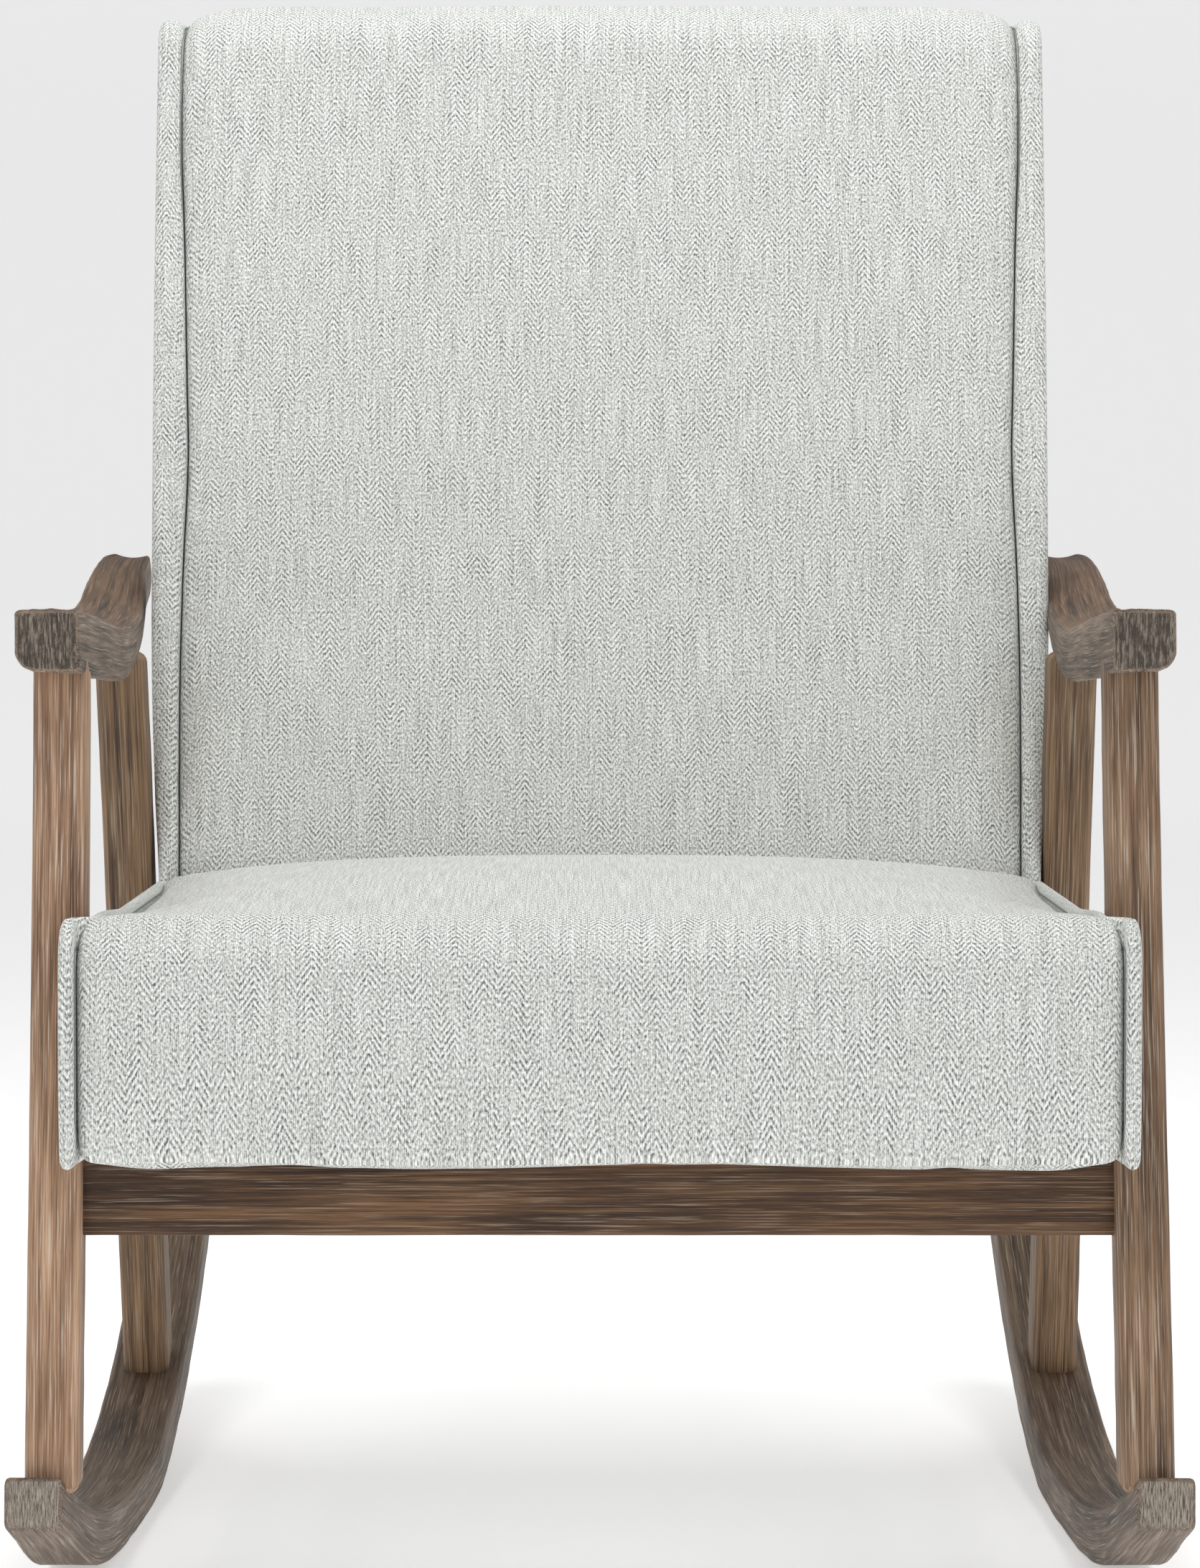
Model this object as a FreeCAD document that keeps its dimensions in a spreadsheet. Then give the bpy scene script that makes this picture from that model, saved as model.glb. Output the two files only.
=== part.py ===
# Upholstered rocking chair: two bent rockers, raked front posts and back legs, dished arms, and an
# upholstered seat and back on their own hidden frames. Millimetres. The sitter faces -Y, +X is towards
# the sitter's left arm and +Z is up. The origin is on the floor, midway between the two rockers and
# midway between their front and rear tips. "left" and "right" in names are as seen from the front.
import FreeCAD, Part
import math
import os

import Sketcher

Vector = FreeCAD.Vector
document = FreeCAD.newDocument("rocking_chair")

# ---------------------------------------------------------------- driving sizes

SIZES = {
    # rockers
    "overall_width": 650,        # over the rockers' outer faces
    "rocker_length": 880,        # front tip to rear tip, measured along the floor
    "rocker_radius": 1060,       # of the running edge
    "rocker_width": 48,
    "rocker_depth": 28,
    "contact_setback": 361,      # front tip to the point that touches the floor
    "long_edge_chamfer": 3,
    # posts, legs and arms
    "post_width": 30,            # across the chair, for the posts and the legs
    "post_depth": 34,
    "post_setback": 5,           # front tip to the post's front face, at floor level
    "post_rake": 0.122,          # backwards per unit of height
    "leg_depth": 45,
    "leg_setback": 618,
    "leg_rake": 0.38,            # forwards per unit of height
    "post_round": 6,
    "arm_width": 36,
    "arm_setback": 35,
    "arm_length": 605,
    "arm_height": 572,
    "arm_thickness": 35,
    "arm_dip": 7,
    "arm_dip_start": 120,        # behind the tip
    "arm_dip_floor": 250,
    "arm_curl_run": 170,         # the rising rear part, measured along the floor
    "arm_curl_radius": 390,      # of its underside
    "arm_scoop": 9,              # how much lower the inner edge is than the outer edge
    "scoop_radius": 1600,
    "scoop_setback": 275,        # behind the tip
    "arm_rear_taper": 9,
    # rails
    "rail_bottom": 220,
    "rail_height": 48,
    "rail_thickness": 24,
    "rail_inset": 9,             # from the front faces of the posts and legs
    # fasteners
    "dowel_radius": 4,
    "dowel_length": 44,
    "dowel_spacing": 18,         # along the chair
    "side_dowel_spacing": 14,    # across the chair
    "dowel_play": 0.1,
    "bolt_radius": 3,
    "bolt_length": 78,
    "bolt_head_radius": 6,
    "bolt_head_height": 5,
    "bolt_sink": 8,
    "bolt_spacing": 28,
    "bolt_play": 0.3,
    "bore_overrun": 1,           # of a head's bore past the face that it starts from
    "nut_radius": 5,
    "nut_length": 18,
    "nut_setback": 12,           # from the bolt's end to the nut's axis
    "screw_radius": 2.5,
    "screw_head_radius": 5,
    "screw_head_height": 3,
    "screw_sink": 6,
    "screw_bite": 26,
    "screw_offset": 120,         # from the middle of the chair
    # seat
    "side_gap": 2,               # between the upholstery and the posts
    "cover_thickness": 3,
    "dust_cover_thickness": 1.5,
    "seat_front": 2,             # behind the front tips
    "seat_front_height": 400,
    "seat_crown_radius": 1100,
    "seat_rear_height": 398,
    "seat_edge_round": 28,
    "cheek_bulge": 9,
    "cheek_depth": 31,
    "frame_thickness": 22,
    "seat_frame_height": 38,
    "seat_frame_setback": 37,
    "spring_wire": 1.9,
    "spring_gap": 0.6,
    "spring_width": 46,
    "spring_spacing": 82,
    "clip_width": 12,
    "corner_block_leg": 46,
    "corner_block_height": 30,
    # back
    "back_setback": 375,         # front tips to the back's front face, run down to the floor
    "back_rake": 0.231,
    "back_thickness": 70,
    "back_gap": 1,
    "back_top": 974,
    "back_top_round": 36,
    "back_rear_round": 14,
    "back_clearance": 3,         # between the side panels and the arms
    "back_half_flare": 17,       # how much wider each half is at the top than between the arms
    "back_panel_bulge": 10,
    "flare_rise": 28,            # the flare starts this far above the arms
    "panel_drop": 22,
    "stile_thickness": 30,
    "stile_width": 28,
    "back_rail_height": 40,
    "webbing_thickness": 2,
    "webbing_width": 50,
    "webbing_pitch": 105,
    "webbing_start": 52,         # above the bottom rail
}


class Size:
    """A number together with the spreadsheet expression that gives it."""

    def __init__(self, value, text=None):
        self.value = float(value)
        self.text = text or repr(float(value))

    @staticmethod
    def of(item):
        return item if isinstance(item, Size) else Size(item)

    def __add__(self, other):
        other = Size.of(other)
        return Size(self.value + other.value, f"({self.text} + {other.text})")

    def __sub__(self, other):
        other = Size.of(other)
        return Size(self.value - other.value, f"({self.text} - {other.text})")

    def __mul__(self, other):
        other = Size.of(other)
        return Size(self.value * other.value, f"({self.text} * {other.text})")

    def __truediv__(self, other):
        other = Size.of(other)
        return Size(self.value / other.value, f"({self.text} / {other.text})")

    def __neg__(self):
        return Size(-self.value, f"(-1 * {self.text})")

    def __radd__(self, other):
        return Size.of(other) + self

    def __rsub__(self, other):
        return Size.of(other) - self

    def __rmul__(self, other):
        return Size.of(other) * self

    def root(self):
        return Size(math.sqrt(self.value), f"sqrt({self.text})")


class Sizes:
    """The sheet's cells as named sizes."""


sheet = document.addObject("Spreadsheet::Sheet", "Sizes")
for row, (alias, number) in enumerate(SIZES.items(), start=1):
    sheet.set(f"A{row}", str(number))
    sheet.setAlias(f"A{row}", alias)
document.recompute()
for alias in SIZES:
    setattr(Sizes, alias, Size(sheet.get(alias), f"Sizes.{alias}"))
S = Sizes


# ---------------------------------------------------------------- how pieces are drawn

def bind(item, name, size):
    """Tie one property to the sheet."""
    item.setExpression(name, Size.of(size).text)


def place(item, x, y, z):
    bind(item, "Placement.Base.x", x)
    bind(item, "Placement.Base.y", y)
    bind(item, "Placement.Base.z", z)


def arc_between(first, last, radius):
    """The arc from first to last: anticlockwise for a positive radius, clockwise for a negative one."""
    if radius < 0:
        first, last = last, first
    chord = last - first
    middle = (first + last) / 2
    height = math.sqrt(max(radius ** 2 - (chord.Length / 2) ** 2, 0))
    centre = middle + Vector(-chord.y, chord.x, 0).normalize() * height
    start = math.atan2(first.y - centre.y, first.x - centre.x)
    end = math.atan2(last.y - centre.y, last.x - centre.x)
    return Part.ArcOfCircle(Part.Circle(centre, Vector(0, 0, 1), abs(radius)), start, end)


def draw(sketch, corners):
    """A closed outline. A corner is (across, up) or (across, up, radius of the edge that leaves it)."""
    spots = [Vector(Size.of(c[0]).value, Size.of(c[1]).value, 0) for c in corners]
    ends = []
    for index, corner in enumerate(corners):
        first = spots[index]
        last = spots[(index + 1) % len(corners)]
        if len(corner) == 3:
            radius = Size.of(corner[2])
            sketch.addGeometry(arc_between(first, last, radius.value))
            rule = sketch.addConstraint(Sketcher.Constraint("Radius", index, abs(radius.value)))
            sketch.setExpression(f"Constraints[{rule}]", f"abs({radius.text})")
            ends.append((1, 2) if radius.value > 0 else (2, 1))
        else:
            sketch.addGeometry(Part.LineSegment(first, last))
            ends.append((1, 2))
    for index, corner in enumerate(corners):
        before = index - 1 if index else len(corners) - 1
        here = ends[index][0]
        sketch.addConstraint(Sketcher.Constraint("Coincident", before, ends[before][1], index, here))
        for kind, size in (("DistanceX", corner[0]), ("DistanceY", corner[1])):
            size = Size.of(size)
            rule = sketch.addConstraint(Sketcher.Constraint(kind, index, here, size.value))
            sketch.setExpression(f"Constraints[{rule}]", size.text)


def sketch_in(body, name, view, corners, offset):
    """A sketch on one of the body's own planes, seen from the side, from the front or from above."""
    role = {"side": "YZ_Plane", "front": "XZ_Plane", "above": "XY_Plane"}[view]
    plane = [item for item in body.Origin.OriginFeatures if item.Role == role][0]
    sketch = body.newObject("Sketcher::SketchObject", name)
    sketch.AttachmentSupport = (plane, [""])
    sketch.MapMode = "FlatFace"
    bind(sketch, "AttachmentOffset.Base.z", offset)
    draw(sketch, corners)
    return sketch


def pad(label, view, corners, start, length):
    """A body padded from an outline: along +X seen from the side, along +Y seen from the front,
    along +Z seen from above, from start over length."""
    body = document.addObject("PartDesign::Body", label)
    offset = -(start + length) if view == "front" else start
    sketch = sketch_in(body, label + "_outline", view, corners, Size.of(offset))
    feature = body.newObject("PartDesign::Pad", label + "_pad")
    feature.Profile = sketch
    bind(feature, "Length", length)
    sketch.Visibility = False
    return body


def block(label, x, y, z, length, width, height):
    """A Part box from its lowest corner."""
    item = document.addObject("Part::Box", label)
    bind(item, "Length", length)
    bind(item, "Width", width)
    bind(item, "Height", height)
    place(item, x, y, z)
    return item


TURNS = {
    "+X": FreeCAD.Rotation(Vector(0, 1, 0), 90),
    "-X": FreeCAD.Rotation(Vector(0, 1, 0), -90),
    "+Y": FreeCAD.Rotation(Vector(1, 0, 0), -90),
    "+Z": FreeCAD.Rotation(),
}


def rod(label, direction, x, y, z, radius, length):
    """A Part cylinder that starts at a point and runs in one direction."""
    item = document.addObject("Part::Cylinder", label)
    item.Placement = FreeCAD.Placement(Vector(), TURNS[direction])
    bind(item, "Radius", radius)
    bind(item, "Height", length)
    place(item, x, y, z)
    return item


def group(label, members):
    """Several like pieces that share a node."""
    item = document.addObject("Part::Compound", label)
    item.Links = members
    return item


def cut(label, base, tool):
    item = document.addObject("Part::Cut", label)
    item.Base = base
    item.Tool = tool
    return item


def common(label, base, tool):
    item = document.addObject("Part::Common", label)
    item.Base = base
    item.Tool = tool
    return item


def ease(body, kind, length, size):
    """Fillet or chamfer the edges of a body that are longer than a length."""
    document.recompute()
    base = body.Tip
    edges = [f"Edge{i}" for i, edge in enumerate(base.Shape.Edges, start=1) if edge.Length > length.value]
    feature = body.newObject("PartDesign::" + kind, f"{body.Name}_{kind}")
    feature.Base = (base, edges)
    bind(feature, {"Fillet": "Radius", "Chamfer": "Size"}[kind], size)


pieces = {}


def keep(node, item):
    """Name a finished sub-part after its node."""
    item.Label = node
    pieces[node] = item
    return item


# ---------------------------------------------------------------- places that pieces share

front = -S.rocker_length / 2
outside = S.overall_width / 2
standing_middle = outside - S.rocker_width / 2
inside = standing_middle - S.post_width / 2
contact = front + S.contact_setback
rail_middle = S.rail_bottom + S.rail_height / 2
rail_top = S.rail_bottom + S.rail_height
SIDES = (("left", -1), ("right", 1))


def start_x(side, low, high):
    """Where a piece that spans low to high on the right starts on this side."""
    return low if side > 0 else -high


def post_front(z):
    return front + S.post_setback + S.post_rake * z


def leg_front(z):
    return front + S.leg_setback - S.leg_rake * z


def back_front(z):
    return front + S.back_setback + S.back_rake * z


def running_height(y, depth):
    """Height of the rocker's arc at y, at a depth inside the running edge."""
    reach = S.rocker_radius - depth
    return S.rocker_radius - (reach * reach - (y - contact) * (y - contact)).root()


# ---------------------------------------------------------------- fasteners, as solids and as bores


def foot_height(middle):
    """Where a raked piece's middle line meets the rocker's top, found in two steps from the floor."""
    near = running_height(middle(Size(0)), S.rocker_depth)
    return running_height(middle(near), S.rocker_depth)


rocker_joints = []
arm_joints = []
for side_name, side in SIDES:
    for middle in (lambda z: post_front(z) + S.post_depth / 2, lambda z: leg_front(z) + S.leg_depth / 2):
        half_pitch = S.dowel_spacing / 2
        foot = foot_height(middle)
        head = S.arm_height - S.arm_thickness
        rocker_joints += [(side, middle(foot) + shift * half_pitch, foot) for shift in (-1, 1)]
        arm_joints += [(side, middle(head) + shift * half_pitch, head) for shift in (-1, 1)]


def dowels(name, joints, play):
    """Upright dowels, half their length each side of each joint."""
    rods = []
    for side, y, z in joints:
        low = z - S.dowel_length / 2 - play
        label = f"{name}_{len(rods) + 1}"
        rods.append(rod(label, "+Z", side * standing_middle, y, low,
                        S.dowel_radius + play, S.dowel_length + 2 * play))
    return rods


def side_rail_dowels(name, play):
    """Dowels along Y between the side rails and the posts and legs, two at each end."""
    rods = []
    faces = (post_front(rail_middle) + S.post_depth, leg_front(rail_middle))
    for side_name, side in SIDES:
        for face in faces:
            for shift in (-1, 1):
                x = side * standing_middle + shift * S.side_dowel_spacing / 2
                rods.append(rod(f"{name}_{len(rods) + 1}", "+Y", x,
                                face - S.dowel_length / 2 - play, rail_middle,
                                S.dowel_radius + play, S.dowel_length + 2 * play))
    return rods


front_rail_y = post_front(rail_middle) + S.rail_inset
rear_rail_y = leg_front(rail_middle) + S.rail_inset
bolt_start = standing_middle + S.post_width / 2 - S.bolt_sink
nut_x = bolt_start - S.bolt_length + S.nut_setback


def rail_bolts(name, rail_y, play):
    """Bolts through the posts or legs into the ends of a cross rail, two at each end."""
    bolts = []
    y = rail_y + S.rail_thickness / 2
    for side_name, side in SIDES:
        inwards = "-X" if side > 0 else "+X"
        outwards = "+X" if side > 0 else "-X"
        for shift in (-1, 1):
            z = rail_middle + shift * S.bolt_spacing / 2
            label = f"{name}_{len(bolts) + 1}"
            shank = rod(label + "_shank", inwards, side * bolt_start, y, z,
                        S.bolt_radius + play, S.bolt_length + play)
            head_height = S.bolt_sink + S.bore_overrun if play else S.bolt_head_height
            head = rod(label + "_head", outwards, side * bolt_start, y, z,
                       S.bolt_head_radius + play, head_height)
            bolt = document.addObject("Part::Fuse", label)
            bolt.Base = shank
            bolt.Tool = head
            bolts.append(bolt)
    return bolts


def barrel_nuts(name, rail_y, play):
    """Cross-drilled nuts that the rail bolts screw into."""
    nuts = []
    for side_name, side in SIDES:
        for shift in (-1, 1):
            z = rail_middle + shift * S.bolt_spacing / 2
            y = rail_y + (S.rail_thickness - S.nut_length) / 2 - play
            nuts.append(rod(f"{name}_{len(nuts) + 1}", "+Y", side * nut_x, y, z,
                            S.nut_radius + play, S.nut_length + 2 * play))
    return nuts


seat_floor = rail_top + S.dust_cover_thickness
frame_top = seat_floor + S.seat_frame_height
spring_top = frame_top + 2 * S.spring_gap + 2 * S.spring_wire
seat_frame_front = front + S.seat_frame_setback
seat_frame_rear = rear_rail_y
front_screw_y = (front_rail_y + seat_frame_front + S.frame_thickness) / 2
rear_screw_y = rear_rail_y + S.frame_thickness / 2


def headed_rods(name, spots, low, sink, length, radius, head_radius, head_height, play):
    """Upright screws or bolts with the head down, set into a counterbore."""
    screws = []
    for x, y in spots:
        label = f"{name}_{len(screws) + 1}"
        shank = rod(label + "_shank", "+Z", x, y, low + sink, radius + play, length + play)
        head_low = low - S.bore_overrun if play else low + sink - head_height
        head = rod(label + "_head", "+Z", x, y, head_low, head_radius + play,
                   low + sink - head_low)
        screw = document.addObject("Part::Fuse", label)
        screw.Base = shank
        screw.Tool = head
        screws.append(screw)
    return screws


def seat_screws(name, play):
    """Screws from under the cross rails up into the seat frame."""
    spots = [(side * S.screw_offset, y) for y in (front_screw_y, rear_screw_y) for _, side in SIDES]
    length = rail_top - S.rail_bottom - S.screw_sink + S.screw_bite
    return headed_rods(name, spots, S.rail_bottom, S.screw_sink, length,
                       S.screw_radius, S.screw_head_radius, S.screw_head_height, play)


back_bottom = spring_top + S.cover_thickness
stile_rear = S.back_thickness - S.cover_thickness
stile_front = stile_rear - S.stile_thickness
back_bolt_y = back_front(back_bottom) + (stile_front + stile_rear) / 2
support_y = back_bolt_y - S.frame_thickness / 2


def back_bolts(name, play):
    """Bolts from the seat frame's cross member up into the back's bottom rail, between two springs."""
    spots = [(side * 2 * S.spring_spacing, back_bolt_y) for _, side in SIDES]
    length = back_bottom + S.back_rail_height - seat_floor - 2 * S.bolt_sink
    return headed_rods(name, spots, seat_floor, S.bolt_sink, length,
                       S.bolt_radius, S.bolt_head_radius, S.bolt_head_height, play)


keep("rocker_dowels", group("RockerDowels", dowels("rocker_dowel", rocker_joints, Size(0))))
keep("arm_dowels", group("ArmDowels", dowels("arm_dowel", arm_joints, Size(0))))
keep("side_rail_dowels", group("SideRailDowels", side_rail_dowels("side_rail_dowel", Size(0))))
keep("front_rail_bolts", group("FrontRailBolts", rail_bolts("front_rail_bolt", front_rail_y, 0)))
keep("rear_rail_bolts", group("RearRailBolts", rail_bolts("rear_rail_bolt", rear_rail_y, 0)))
keep("seat_screws", group("SeatScrews", seat_screws("seat_screw", 0)))
keep("back_bolts", group("BackBolts", back_bolts("back_bolt", 0)))

rail_bolt_bores = group("RailBoltBores", rail_bolts("front_bore", front_rail_y, S.bolt_play)
                        + rail_bolts("rear_bore", rear_rail_y, S.bolt_play))
nut_blanks = group("NutBlanks", barrel_nuts("front_nut", front_rail_y, 0)
                   + barrel_nuts("rear_nut", rear_rail_y, 0))
keep("barrel_nuts", cut("BarrelNuts", nut_blanks, rail_bolt_bores))

upright_bores = group("UprightBores", dowels("rocker_bore", rocker_joints, S.dowel_play)
                      + dowels("arm_bore", arm_joints, S.dowel_play)
                      + side_rail_dowels("side_rail_bore", S.dowel_play) + [rail_bolt_bores])
rail_bores = group("RailBores", [rail_bolt_bores] + barrel_nuts("front_nut_bore", front_rail_y, S.bolt_play)
                   + barrel_nuts("rear_nut_bore", rear_rail_y, S.bolt_play)
                   + seat_screws("seat_screw_bore", S.bolt_play))
frame_bores = group("FrameBores", seat_screws("seat_screw_frame_bore", S.bolt_play)
                    + back_bolts("back_bolt_bore", S.bolt_play))


# ---------------------------------------------------------------- rockers, arms, posts and legs

def rocker(side_name, side):
    """A bent rocker: two arcs about one centre, its ends cut upright and its long edges chamfered."""
    rear = front + S.rocker_length
    outline = [
        (front, running_height(front, 0), S.rocker_radius),
        (rear, running_height(rear, 0)),
        (rear, running_height(rear, S.rocker_depth), -(S.rocker_radius - S.rocker_depth)),
        (front, running_height(front, S.rocker_depth)),
    ]
    low = outside - S.rocker_width
    body = pad(f"RockerBlank_{side_name}", "side", outline, start_x(side, low, outside), S.rocker_width)
    ease(body, "Chamfer", S.rocker_length / 2, S.long_edge_chamfer)
    return cut(f"Rocker_{side_name}", body, upright_bores)


arm_tip = front + S.arm_setback
arm_low = S.arm_height - S.arm_thickness
dip_start = arm_tip + S.arm_dip_start
dip_floor = arm_tip + S.arm_dip_floor
curl_start = arm_tip + S.arm_length - S.arm_curl_run


def curl_end(radius):
    """Where the arm's rear end cuts an arc of its rising rear part."""
    share = S.arm_curl_run / S.arm_curl_radius
    run = radius * share
    rise = radius - (radius * radius - run * run).root()
    high = arm_low - S.arm_dip + S.arm_curl_radius - radius
    return curl_start + run, high + rise


def arm(side_name, side):
    """An arm that is level over the post, dips, is level over the leg and curls up behind it. Its top
    is dished towards the sitter and its inner face is eased away from the back."""
    inner_curl = S.arm_curl_radius - S.arm_thickness
    outline = [
        (arm_tip, arm_low), (dip_start, arm_low), (dip_floor, arm_low - S.arm_dip),
        (curl_start, arm_low - S.arm_dip, S.arm_curl_radius),
        curl_end(S.arm_curl_radius), (*curl_end(inner_curl), -inner_curl),
        (curl_start, S.arm_height - S.arm_dip), (dip_floor, S.arm_height - S.arm_dip),
        (dip_start, S.arm_height), (arm_tip, S.arm_height),
    ]
    body = pad(f"ArmBlank_{side_name}", "side", outline, start_x(side, inside, inside + S.arm_width),
               S.arm_width)
    dished = cut(f"ArmDished_{side_name}", body, scoop(side_name, side))
    rear = arm_tip + S.arm_length
    easing = pad(f"ArmEasing_{side_name}", "above",
                 [(side * inside, curl_start), (side * (inside + S.arm_rear_taper), rear),
                  (side * inside, rear)], Size(0), S.back_top)
    return cut(f"ArmEased_{side_name}", dished, easing)


def scoop(side_name, side):
    """The cylinder that dishes the arm's top: it slopes down towards the inner edge."""
    slope = (S.arm_width * S.arm_width + S.arm_scoop * S.arm_scoop).root()
    level = S.arm_width / slope
    tilt = S.arm_scoop / slope
    bottom = S.arm_height - S.arm_dip - S.arm_scoop
    reach = S.arm_width
    x = side * (inside - S.scoop_radius * tilt - reach * level)
    z = bottom + S.scoop_radius * level - reach * tilt
    cylinder = rod(f"Scoop_{side_name}", "+X", x, arm_tip + S.scoop_setback, z, S.scoop_radius,
                   slope + 2 * reach)
    angle = f"{side} * (90 deg - atan(({S.arm_scoop.text}) / ({S.arm_width.text})))"
    cylinder.setExpression("Placement.Rotation.Angle", angle)
    return cylinder


rocker_inside = rod("RockerInside", "+X", -outside, contact, S.rocker_radius,
                    S.rocker_radius - S.rocker_depth, S.overall_width)
arm_blanks = {}


def upright(name, side_name, side, front_at, depth):
    """A raked post or leg: it stands on the rocker's curved top and ends under the arm."""
    top = S.arm_height - S.arm_thickness / 2
    outline = [(front_at(Size(0)), Size(0)), (front_at(Size(0)) + depth, Size(0)),
               (front_at(top) + depth, top), (front_at(top), top)]
    body = pad(f"{name}_{side_name}", "side", outline, start_x(side, inside, inside + S.post_width),
               S.post_width)
    ease(body, "Fillet", S.arm_height / 2, S.post_round)
    standing = common(f"{name}Standing_{side_name}", body, rocker_inside)
    trimmed = cut(f"{name}Trimmed_{side_name}", standing, arm_blanks[side_name])
    return cut(f"{name}Bored_{side_name}", trimmed, upright_bores)


def side_rail(side_name, side):
    """A rail between the post and the leg of one side, cut to their raked faces."""
    low = standing_middle - S.rail_thickness / 2
    first = post_front(rail_middle) + S.post_depth / 2
    last = leg_front(rail_middle) + S.leg_depth / 2
    blank = block(f"SideRailBlank_{side_name}", start_x(side, low, low + S.rail_thickness), first,
                  S.rail_bottom, S.rail_thickness, last - first, S.rail_height)
    for name in ("front_post_", "back_leg_"):
        blank = cut(f"SideRail_{name}{side_name}", blank, pieces[name + side_name])
    return cut(f"SideRailBored_{side_name}", blank, upright_bores)


for side_name, side in SIDES:
    keep("rocker_" + side_name, rocker(side_name, side))
    arm_blanks[side_name] = arm(side_name, side)
    keep("arm_" + side_name, cut(f"ArmBored_{side_name}", arm_blanks[side_name], upright_bores))
    keep("front_post_" + side_name, upright("FrontPost", side_name, side, post_front, S.post_depth))
    keep("back_leg_" + side_name, upright("BackLeg", side_name, side, leg_front, S.leg_depth))
    keep("side_rail_" + side_name, side_rail(side_name, side))

for node, y in (("front_rail", front_rail_y), ("rear_rail", rear_rail_y)):
    blank = block(node + "_blank", -inside, y, S.rail_bottom, 2 * inside, S.rail_thickness, S.rail_height)
    keep(node, cut(node + "_bored", blank, rail_bores))

# ---------------------------------------------------------------- seat

seat_half = inside - S.side_gap
frame_half = seat_half - S.cover_thickness
seat_rear = seat_frame_rear + S.frame_thickness + S.cover_thickness
member_length = seat_frame_rear - seat_frame_front - S.frame_thickness


def seat_member(node, x, y, length, width):
    blank = block(node + "_blank", x, y, seat_floor, length, width, S.seat_frame_height)
    keep(node, cut(node + "_bored", blank, frame_bores))


seat_member("seat_frame_front", -frame_half, seat_frame_front, 2 * frame_half, S.frame_thickness)
seat_member("seat_frame_rear", -frame_half, seat_frame_rear, 2 * frame_half, S.frame_thickness)
seat_member("seat_frame_cross", -frame_half + S.frame_thickness, support_y,
            2 * (frame_half - S.frame_thickness), S.frame_thickness)
for side_name, side in SIDES:
    keep("seat_frame_" + side_name,
         block("SeatFrame_" + side_name, start_x(side, frame_half - S.frame_thickness, frame_half),
               seat_frame_front + S.frame_thickness, seat_floor,
               S.frame_thickness, member_length, S.seat_frame_height))


def corner_blocks():
    """Triangular glue blocks in the four corners around the springs."""
    blocks = []
    for side_name, side in SIDES:
        for y, way in ((seat_frame_front + S.frame_thickness, 1), (support_y, -1)):
            x = side * (frame_half - S.frame_thickness)
            corners = [(x, y), (x - side * S.corner_block_leg, y), (x, y + way * S.corner_block_leg)]
            blocks.append(pad(f"corner_block_{len(blocks) + 1}", "above", corners, seat_floor,
                              S.corner_block_height))
    return group("CornerBlocks", blocks)


keep("seat_corner_blocks", corner_blocks())

SPRING_COUNT = 6
SPRING_BENDS = 17
spring_start = seat_frame_front + S.frame_thickness / 2
spring_end = support_y + S.frame_thickness / 2
spring_pitch = (spring_end - spring_start) / SPRING_BENDS
spring_height = frame_top + S.spring_gap + S.spring_wire


def spring_x(index):
    return (index - (SPRING_COUNT - 1) / 2) * S.spring_spacing


def spring(index):
    """One sinuous spring: a wire that zigzags from the front of the seat frame to its cross member."""
    x = spring_x(index).value
    y = spring_start.value
    z = spring_height.value
    pitch = spring_pitch.value
    reach = (S.spring_width.value - pitch) / 2
    start = Vector(x, y, z)
    edges = []
    for bend in range(SPRING_BENDS):
        way = 1 if bend % 2 == 0 else -1
        here = Vector(x + way * reach, y, z)
        there = Vector(x + way * reach, y + pitch, z)
        apex = Vector(x + way * (reach + pitch / 2), y + pitch / 2, z)
        edges.append(Part.makeLine(start, here))
        edges.append(Part.Arc(here, apex, there).toShape())
        start = there
        y += pitch
    edges.append(Part.makeLine(start, Vector(x, y, z)))
    ring = Part.makeCircle(S.spring_wire.value, Vector(x, spring_start.value, z), Vector(1, 0, 0))
    return Part.Wire(edges).makePipeShell([Part.Wire([ring])], True, True)


springs = document.addObject("Part::Feature", "Springs")
springs.Shape = Part.makeCompound([spring(index) for index in range(SPRING_COUNT)])
keep("seat_springs", springs)


def spring_clips():
    """Steel clips over the last wire of each spring, nailed to the seat frame's top."""
    clips = []
    length = (S.spring_width - spring_pitch) / 2
    for index in range(SPRING_COUNT):
        for y in (spring_start, spring_end):
            clips.append(block(f"clip_{len(clips) + 1}", spring_x(index) - length / 2, y - S.clip_width / 2,
                               frame_top, length, S.clip_width, spring_top - frame_top))
    return cut("SpringClips", group("ClipBlanks", clips), springs)


keep("seat_spring_clips", spring_clips())

back_foot = back_front(spring_top)


def seat_outline(inset, low):
    """The seat from the side: a soft front edge and a crowned top that ends against the back."""
    y = front + S.seat_front + inset
    high = S.seat_front_height - inset
    edge = S.seat_edge_round - inset
    rear_high = S.seat_rear_height - inset
    rear = back_front(rear_high) - S.back_gap
    return [
        (y, low), (back_front(low) - S.back_gap, low), (rear, rear_high, S.seat_crown_radius),
        (y + edge, high, edge), (y, high - edge),
    ]


def seat_solid(name, inset, half, low):
    return pad(name, "side", seat_outline(inset, low), -half, 2 * half)


def seat_foam():
    """The foam over the springs, with a lip down the front of the seat frame."""
    half = frame_half
    whole = seat_solid("SeatFoamWhole", S.cover_thickness, half, seat_floor)
    hollow = block("SeatFoamHollow", -outside, seat_frame_front, 0, S.overall_width, S.rocker_length,
                   spring_top)
    return cut("SeatFoam", whole, hollow)


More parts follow.
